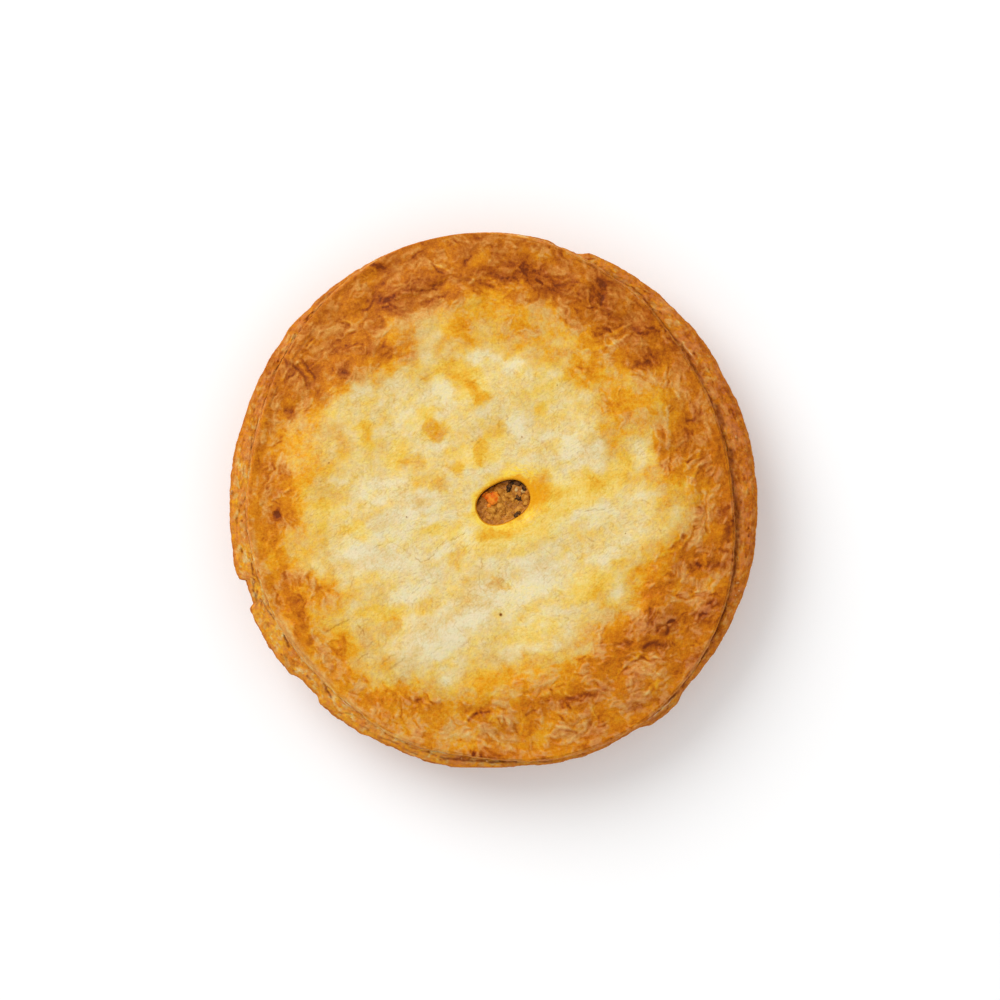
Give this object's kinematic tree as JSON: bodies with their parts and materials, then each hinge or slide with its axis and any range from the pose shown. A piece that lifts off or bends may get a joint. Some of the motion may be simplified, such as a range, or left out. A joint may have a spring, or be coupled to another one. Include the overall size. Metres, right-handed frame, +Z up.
{
  "type": "turkey pot pie",
  "caption": "Round double-crust savoury pie out of its tin: domed golden lid with an oval steam vent, flaky rim, tapered case and gravy filling.",
  "frame": {"origin": "on the table, under the middle of the pie", "axes": "+Z up through the pie, +Y towards the side that is at the top of the picture, +X to its right"},
  "size_m": [0.2278, 0.2306, 0.0461],
  "materials": {
    "case_crust": "matte, flaky baked pastry",
    "lid_crust": "egg-washed baked pastry with a low sheen, cream in the middle and brown in a broad ring",
    "gravy_filling": "glossy brown gravy with meat and vegetables"
  },
  "bodies": {
    "root": {"pastry_case": "case_crust", "pastry_lid": "lid_crust", "turkey_filling": "gravy_filling"}
  },
  "joints": []
}
